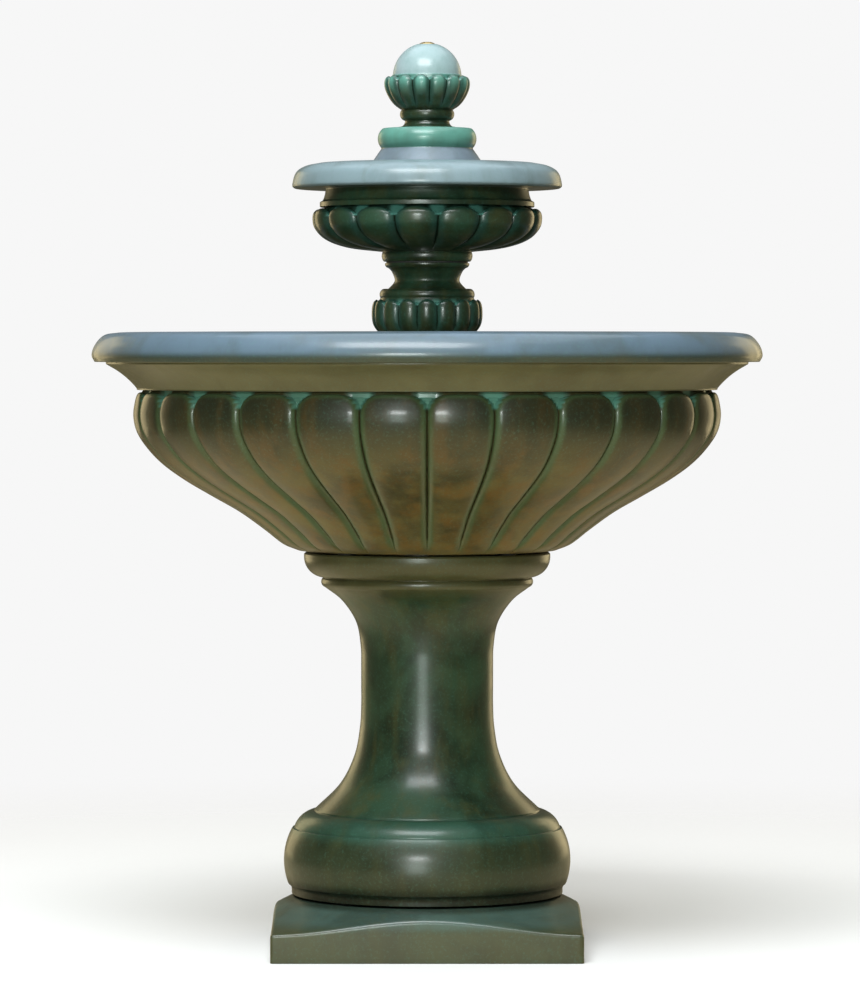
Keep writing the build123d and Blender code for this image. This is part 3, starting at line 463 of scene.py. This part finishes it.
basin_patina = patinated(
    "basin_patina",
    bands=[
        # painted shade: the upper part of the lobes darkened, as under the cornice's overhang
        (0.698, 0.900, 0.050, SHADE, 0.94),
        (0.781, 0.900, 0.001, OLIVE, 0.95),
        (0.819, 0.900, 0.001, (0.018, 0.040, 0.040), 0.90),
        (0.829, 0.900, 0.006, (0.092, 0.140, 0.190), 0.92),
    ],
    **BROWN,
)
bowl_patina = patinated(
    "bowl_patina", bands=[(1.061, 1.200, 0.001, (0.180, 0.245, 0.275), 0.9)], **GREEN
)
finial_patina = patinated(
    "finial_patina",
    bands=[
        (1.000, 1.117, 0.001, (0.170, 0.220, 0.275), 0.9),
        (1.117, 1.146, 0.001, TURQUOISE, 0.9),
        (1.200, 1.300, 0.014, TURQUOISE, 0.9),
        (1.219, 1.300, 0.002, (0.290, 0.355, 0.385), 0.9),
    ],
    **GREEN,
)


def plain(name, colour, second, scale, metallic=0.0, low=0.35, high=0.5, coat=0.0, grain=0.3, depth=0.15 * MM):
    """A made finish, such as moulded plastic, rubber or drawn metal, with slight uneven colour and grain."""
    material, tree, shader = surface(name, metallic=metallic, coat=coat)
    position = node(tree, "ShaderNodeTexCoord").outputs["Object"]
    tone = ranged(tree, noise(tree, position, scale, 4.0, 0.6), 0.35, 0.65)
    fine = noise(tree, position, scale * 40, 2.0, 0.5)
    tree.links.new(mixed(tree, tone, colour, second), shader.inputs["Base Color"])
    tree.links.new(ranged(tree, fine, 0.3, 0.7, low, high), shader.inputs["Roughness"])
    bumped(tree, shader, fine, grain, depth)
    return material


PLAIN_FINISHES = {
    "rubber": plain("black_rubber", (0.018, 0.018, 0.018), (0.030, 0.030, 0.029), 30, low=0.6, high=0.8),
    "pump_plastic": plain("pump_plastic", (0.022, 0.023, 0.026), (0.034, 0.036, 0.040), 18, low=0.4, high=0.55),
    "dial_plastic": plain("dial_plastic", (0.40, 0.42, 0.43), (0.46, 0.48, 0.49), 20, low=0.3, high=0.4),
    "impeller_plastic": plain("impeller_plastic", (0.66, 0.67, 0.63), (0.73, 0.74, 0.70), 25, low=0.3, high=0.4),
    "ferrite": plain("ferrite", (0.045, 0.045, 0.048), (0.075, 0.075, 0.078), 60, metallic=0.3, low=0.4, high=0.6),
    "ceramic_pin": plain("ceramic_pin", (0.80, 0.79, 0.74), (0.84, 0.83, 0.79), 60, low=0.1, high=0.2),
    "vinyl": plain("clear_vinyl", (0.55, 0.63, 0.60), (0.62, 0.69, 0.66), 12, low=0.12, high=0.22, coat=0.3),
    "steel": plain("band_steel", (0.55, 0.55, 0.56), (0.64, 0.64, 0.65), 40, metallic=1.0, low=0.25, high=0.4),
    "brass": plain("brass", (0.48, 0.34, 0.13), (0.58, 0.43, 0.18), 35, metallic=1.0, low=0.25, high=0.42),
    "copper": plain("copper", (0.50, 0.22, 0.12), (0.62, 0.31, 0.19), 22, metallic=1.0, low=0.28, high=0.45),
    "cast_green": green_patina,
    "cast_bronze": basin_patina,
}

for entry in frame["record"]["subparts"]:
    finish = PLAIN_FINISHES[entry["material_slot"]]
    mesh = nodes[entry["node"]].data
    mesh.materials.clear()
    mesh.materials.append(finish)


# ------------------------------------------------------------------ castings
def belly(foot, reach, base, height, stations):
    """Places up a lobed belly from shares of its height and of its reach."""
    return [(foot + out * (reach - foot), base + up * height) for up, out in stations]


def cut(bm, cutter):
    """Takes the cutter's space out of a closed mesh and gives back what is left."""
    parts = []
    for label, made in (("solid", bm), ("cutter", cutter)):
        mesh = bpy.data.meshes.new(label)
        made.to_mesh(mesh)
        made.free()
        parts.append(bpy.data.objects.new(label, mesh))
        bpy.context.scene.collection.objects.link(parts[-1])
    solid, tool = parts
    difference = solid.modifiers.new("cut", "BOOLEAN")
    difference.operation = "DIFFERENCE"
    difference.solver = "EXACT"
    difference.object = tool
    shown = solid.evaluated_get(bpy.context.evaluated_depsgraph_get())
    left = bmesh.new()
    left.from_mesh(shown.to_mesh())
    shown.to_mesh_clear()
    for part in parts:
        bpy.data.objects.remove(part)
    bmesh.ops.dissolve_degenerate(left, dist=0.005 * MM, edges=left.edges[:])
    return left


# plinth: a square slab whose top swells up to the pedestal's seat, with a notch for a cord under its back edge
BELL_RADIUS = 188
SLAB_EDGE = 6
SLAB_CORNER = 4
NOTCH_WIDTH = 26 * MM
NOTCH_HEIGHT = 18 * MM
NOTCH_REACH = 240 * MM
half_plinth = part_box("plinth")[1].x / MM


def bell(radius):
    """Height of the slab's swelling top at a radius, in millimetres."""
    return 272.87 - math.sqrt(231.87**2 - (radius - 303.83) ** 2)


def squared(bm, corner_radius):
    """Draws the slab out to a square beyond the pedestal's seat, with its top still on the bell."""
    for vertex in bm.verts:
        radius = math.hypot(vertex.co.x, vertex.co.y) / MM
        if radius < BELL_RADIUS + 0.5:
            continue
        ux, uy = abs(vertex.co.x) / radius / MM, abs(vertex.co.y) / radius / MM
        reach = half_plinth / max(ux, uy)
        inner = half_plinth - corner_radius
        if min(ux, uy) * reach > inner:
            mean = inner * (ux + uy)
            reach = mean + math.sqrt(mean * mean - 2 * inner * inner + corner_radius**2)
        stretch = reach / half_plinth
        if radius > half_plinth - SLAB_EDGE:
            moved = reach - (half_plinth - radius) * stretch
        else:
            share = (radius - BELL_RADIUS) / (half_plinth - SLAB_EDGE - BELL_RADIUS)
            moved = BELL_RADIUS + share * (reach - SLAB_EDGE * stretch - BELL_RADIUS)
        if vertex.co.z > 20 * MM:
            vertex.co.z += (bell(moved) - bell(radius)) * MM
        vertex.co.x *= moved / radius
        vertex.co.y *= moved / radius


slab = Outline("plinth", 50, 0).run((half_plinth, 0), (half_plinth, 53)).arc((212.6, 57.6), (208, 61.0), 5)
slab.run(*((radius, bell(radius)) for radius in (204, 200, 196, 192, BELL_RADIUS)))
slab.run((132, 72), (132, 84), (50, 84))
bm = turned(slab, 192)
crowd_columns(bm, 4, math.radians(45))
squared(bm, SLAB_CORNER)
notch = bmesh.new()
bmesh.ops.create_cube(notch, size=1.0)
bmesh.ops.scale(notch, verts=notch.verts, vec=(NOTCH_WIDTH, NOTCH_REACH, 2 * NOTCH_HEIGHT))
bmesh.ops.translate(notch, verts=notch.verts, vec=(0, NOTCH_REACH / 2, 0))
finished("plinth_slab", cut(bm, notch), "base", "cast_green", plinth_patina, "plinth")

# pedestal: torus and fillets, shaft, and a neck with a cushion
column = Outline("pedestal", 135, 0).run((190, 0), (190, 5)).arc((191, 10), (195, 14), 4)
column.arc((201, 47), (189, 92), 16).run((186, 92), (186, 94)).arc((178, 106.6), (164, 115), 10)
column.run((158, 115), (158, 117)).curve((122, 153), (102, 193), (94.3, 232), (92.5, 264), (92.5, 292), steps=8)
column.run((92.5, 318)).curve((93.2, 346), (99.5, 380), (119, 410), (143, 429), steps=8)
column.arc((148.5, 436), (146, 442.5), 8).run((146, 444), (152, 444)).arc((168, 456), (172.5, 470.5), 10)
column.run((172.5, 475.5), (170, 478), (138, 478), (138, 465), (55, 355), (55, 215), (135, 55))
bm = turned(column, 160)
finished("pedestal_column", bm, "base", "cast_green", pedestal_patina, "pedestal")

# lower basin: broad lobes under a hollow cornice and a bull-nosed rim, with the drain behind the pump house
DRAIN_OFFSET = 108 * MM
DRAIN_DEPTH = 52 * MM
DRAIN_SIDES = 64
BASIN_BELLY = [
    (0.00, 0.03),
    (0.04, 0.12),
    (0.13, 0.23),
    (0.24, 0.375),
    (0.34, 0.54),
    (0.44, 0.70),
    (0.54, 0.83),
    (0.64, 0.92),
    (0.74, 0.98),
    (0.84, 1.00),
    (0.93, 0.99),
    (0.98, 0.975),
    (1.00, 0.965),
]
shape = belly(174, 411, 9, 224, BASIN_BELLY)
basin = Outline("lower_basin", 0, 0).run((135, 0), (135, 9), shape[0]).curve(*shape[1:], steps=5, marked=True)
basin.run((405.7, 233), (405.7, 235)).arc((420.8, 250.6), (441.7, 265), 8).run((448.7, 269), (448.7, 272))
basin.run((464.5, 272)).curve((468.5, 282), (463.5, 296.6), (450.5, 309.5), (430, 313), steps=5)
basin.arc((410.5, 311.2), (398.5, 305), 4).arc((388, 272), (374, 243), 8)
basin.curve((372, 199), (358, 161), (320, 128.5), (260, 92), (199, 56), (150, 43), steps=4).run((0, 43))
bm = lobed(basin, 28, 18, 12 * MM, corner=0.6, shoulder=9 * MM, crown=0.35)
drain_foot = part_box("drain_stopper")[0].z
drain = bmesh.new()
bmesh.ops.create_cone(
    drain, cap_ends=True, segments=DRAIN_SIDES, radius1=13.5 * MM, radius2=16.3 * MM, depth=DRAIN_DEPTH
)
# half a side off the basin's seam, so that no two corners of the cut fall together
half_side = Matrix.Rotation(math.pi / DRAIN_SIDES, 3, "Z")
bmesh.ops.rotate(drain, verts=drain.verts, cent=(0, 0, 0), matrix=half_side)
bmesh.ops.translate(drain, verts=drain.verts, vec=(0, DRAIN_OFFSET, drain_foot + DRAIN_DEPTH / 2))
finished("basin_casting", cut(bm, drain), "base", "cast_bronze", basin_patina, "lower_basin")

# riser: round foot, lobed bulb and waisted stem
BULB = [(0, 0.1), (0.1, 0.5), (0.26, 0.84), (0.44, 0.98), (0.62, 1.0), (0.78, 0.96), (0.9, 0.84), (1.0, 0.55)]
shape = belly(60, 77.5, 65, 52, BULB)
riser = Outline("riser", 50, 0).run((65, 0), (65, 9), (82, 9), (82, 41), (78, 47), (68, 47)).arc((58, 57), (61, 65))
riser.run(shape[0]).curve(*shape[1:], steps=4, marked=True)
riser.run((65, 117)).arc((66.5, 123), (61.5, 130)).run((54.5, 130))
riser.curve((47, 138), (45.5, 144), (49.5, 154), (54, 159), steps=6).run((57, 160), (59, 163), (59, 166))
riser.run((12, 166), (12, 47), (50, 47))
BULB_TURN = -math.pi / 16
bm = lobed(riser, 16, 14, 7 * MM, BULB_TURN, 0.8 * MM, corner=1.0, shoulder=7 * MM, crown=0.7, fade=0.25)
finished("riser_casting", bm, "upper_tier", "cast_green", green_patina, "riser")

# upper bowl: short round lobes under a flared rim
UPPER = [
    (0.00, 0.03),
    (0.05, 0.34),
    (0.10, 0.52),
    (0.18, 0.69),
    (0.28, 0.82),
    (0.40, 0.91),
    (0.56, 0.98),
    (0.72, 1.00),
    (0.86, 0.99),
    (0.95, 0.94),
    (1.00, 0.86),
]
shape = belly(63.5, 161, 14, 62, UPPER)
bowl = Outline("upper_bowl", 24, 0).run((60.5, 0)).arc((63.5, 7), (62, 14)).run(shape[0])
bowl.curve(*shape[1:], steps=4, marked=True).run((150, 76), (150, 83), (146, 85)).arc((143, 93.5), (142, 102))
bowl.run((185.5, 102)).curve((188.5, 107), (183.5, 124), (170.5, 133), (152, 137), steps=5)
bowl.arc((131, 129), (122, 110)).run((122, 71)).arc((114, 56), (86, 44)).run((14, 44), (14, 26), (24, 26))
UPPER_TURN = math.radians(5.6)
bm = lobed(bowl, 16, 20, 10 * MM, UPPER_TURN, corner=0.85, shoulder=11 * MM, crown=0.5, fade=0.3)
finished("upper_bowl_casting", bm, "upper_tier", "cast_green", bowl_patina, "upper_bowl")

# finial: bell foot with a torus, then a lobed cup that holds the ball
bell_foot = Outline("finial_base", 31, 0).run((72, 0), (72, 67), (84, 77), (84, 83)).arc((72, 102), (63.5, 114))
bell_foot.arc((69, 127), (62, 142), 10).run((12, 142), (12, 52), (31, 52))
finished("finial_bell", turned(bell_foot, 128), "finial_top", "cast_green", finial_patina, "finial_base")

CUP = [(0, 0.05), (0.1, 0.34), (0.24, 0.6), (0.42, 0.82), (0.6, 0.96), (0.76, 1.0), (0.9, 0.92), (1.0, 0.68)]
shape = belly(36, 60, 26.5, 48, CUP)
cup = Outline("finial", 9, 0).run((40, 0), (40, 2)).arc((33.5, 4), (31, 9), 5).run((31, 10.5))
cup.arc((38, 18.5), (35, 26.5)).run(shape[0]).curve(*shape[1:], steps=4, marked=True)
cup.run((47.9, 74.5)).arc((33.94, 105.44), (14, 117.4), 20).run((14, 113.5), (9, 113.5))
CUP_TURN = math.radians(16.7) - math.pi / 14
bm = lobed(cup, 14, 18, 6 * MM, CUP_TURN, 0.6 * MM, corner=1.0, shoulder=7 * MM, crown=0.7, fade=0.2)
finished("finial_ball_and_cup", bm, "finial_top", "cast_green", finial_patina, "finial")


# ------------------------------------------------------------------ studio
EYE = Vector((0.0, -7.0, 0.836))
AIM = Vector((0.004, 0.0, 0.620))
LENS = 178.6
BACKDROP = (0.93, 0.93, 0.93)
REFLECTED = (0.15, 0.135, 0.09)
FLOOR_RADIUS = 3.2
FLOOR_TONE = (0.78, 0.78, 0.78)
FLOOR_BOUNCE = (0.76, 0.64, 0.40)
FLOOR_GLOW = 0.16


def facing(place, aim):
    """The turn that points a camera or lamp at a place."""
    return (Vector(aim) - Vector(place)).to_track_quat("-Z", "Y").to_euler()


def studio_camera():
    camera = bpy.data.objects.new("camera", bpy.data.cameras.new("camera"))
    camera.data.lens = LENS
    camera.data.sensor_width = 36.0
    camera.location = EYE
    camera.rotation_euler = facing(EYE, AIM)
    bpy.context.scene.collection.objects.link(camera)
    bpy.context.scene.camera = camera


studio_camera()


def softbox(name, place, aim, size, power, colour=(1.0, 1.0, 1.0)):
    """A soft rectangular lamp, width by height, turned towards a place on the object."""
    lamp = bpy.data.lights.new(name, "AREA")
    lamp.shape = "RECTANGLE"
    lamp.size, lamp.size_y = size
    lamp.energy = power
    lamp.color = colour
    light = bpy.data.objects.new(name, lamp)
    light.location = place
    light.rotation_euler = facing(place, aim)
    bpy.context.scene.collection.objects.link(light)


softbox("front_window", (-0.55, -4.2, 1.6), (0, 0, 0.7), (1.0, 0.32), 60, (0.95, 1.0, 1.0))
softbox("front_sky", (-0.4, -2.1, 3.6), (0, 0, 0.8), (2.2, 1.4), 165, (0.93, 0.97, 1.0))
softbox("top_sky", (0, 0.2, 3.5), (0, 0, 0.6), (3.4, 3.0), 70, (0.84, 0.92, 1.0))
softbox("low_window", (-1.2, -8.6, 0.7), (0, 0, 0.6), (2.2, 3.4), 230, (0.86, 1.0, 0.93))
softbox("left_fill", (-2.3, 3.4, 1.1), (0, 0, 0.7), (1.5, 2.4), 22, (1.0, 0.82, 0.45))
softbox("right_fill", (2.3, 3.4, 1.1), (0, 0, 0.7), (1.5, 2.4), 22, (1.0, 0.82, 0.45))


def pale_surroundings():
    """A plain pale backdrop for the camera, and dim warm surroundings for what the object reflects."""
    world = bpy.data.worlds.new("pale_surroundings")
    world.use_nodes = True
    tree = world.node_tree
    ground = tree.nodes["Background"]
    seen = node(tree, "ShaderNodeLightPath").outputs["Is Camera Ray"]
    tree.links.new(mixed(tree, seen, REFLECTED, BACKDROP), ground.inputs["Color"])
    bpy.context.scene.world = world


def pale_floor():
    """A round floor that fades into the backdrop and throws warm light back up."""
    bm = bmesh.new()
    bmesh.ops.create_circle(bm, cap_ends=True, segments=96, radius=FLOOR_RADIUS)
    mesh = bpy.data.meshes.new("floor")
    bm.to_mesh(mesh)
    bm.free()
    floor = bpy.data.objects.new("floor", mesh)
    bpy.context.scene.collection.objects.link(floor)
    material, tree, shader = surface("floor_paper", specular=0.2)
    shader.inputs["Roughness"].default_value = 0.8
    distance = node(tree, "ShaderNodeVectorMath", operation="LENGTH")
    tree.links.new(node(tree, "ShaderNodeTexCoord").outputs["Object"], distance.inputs[0])
    tree.links.new(ranged(tree, distance.outputs["Value"], 0.5, 2.9, 1.0, 0.0), shader.inputs["Alpha"])
    mesh.materials.append(material)
    seen = node(tree, "ShaderNodeLightPath").outputs["Is Camera Ray"]
    tree.links.new(mixed(tree, seen, FLOOR_BOUNCE, FLOOR_TONE), shader.inputs["Base Color"])
    glow = maths(tree, "MULTIPLY", seen, FLOOR_GLOW)
    shader.inputs["Emission Color"].default_value = (1.0, 1.0, 1.0, 1.0)
    tree.links.new(glow, shader.inputs["Emission Strength"])


pale_surroundings()
pale_floor()
bpy.context.scene.view_settings.view_transform = "Standard"
